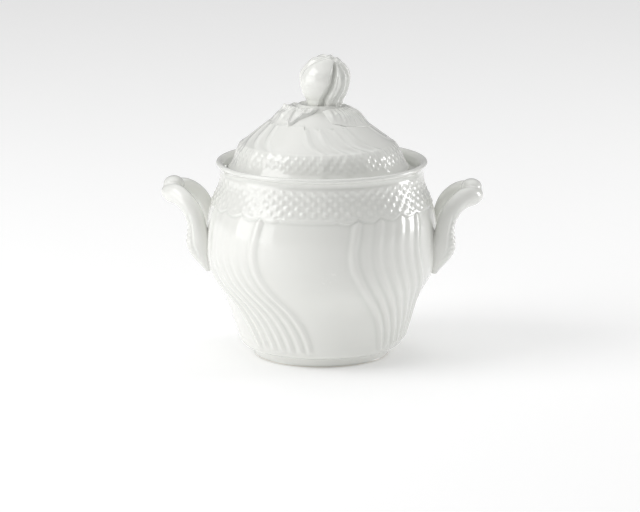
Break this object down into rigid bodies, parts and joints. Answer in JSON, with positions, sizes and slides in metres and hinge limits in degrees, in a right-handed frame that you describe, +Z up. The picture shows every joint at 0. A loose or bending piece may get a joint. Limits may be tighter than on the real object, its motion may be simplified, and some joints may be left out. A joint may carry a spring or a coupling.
{
  "type": "covered sugar bowl",
  "caption": "Covered sugar bowl in glazed porcelain, with a footed fluted body, woven border, loop handles and a lift-off lid with a bud finial.",
  "frame": {"origin": "on the table under the middle of the foot ring", "axes": "+Z up, the two handles lie along X, and -Y is the side the finial leans towards"},
  "size_m": [0.1288, 0.0934, 0.1224],
  "materials": {
    "porcelain_glaze": "glossy clear glaze over a white body"
  },
  "bodies": {
    "bowl_body": {"bowl": "porcelain_glaze", "handle_left": "porcelain_glaze", "handle_right": "porcelain_glaze"},
    "lid_body": {"lid": "porcelain_glaze", "finial_bud": "porcelain_glaze", "leaf_left": "porcelain_glaze", "leaf_right": "porcelain_glaze"}
  },
  "joints": [
    {"name": "lid_lift", "type": "slide", "parent": "bowl_body", "child": "lid_body", "axis": [0, 0, 1], "range_m": [0, 0.06]}
  ]
}
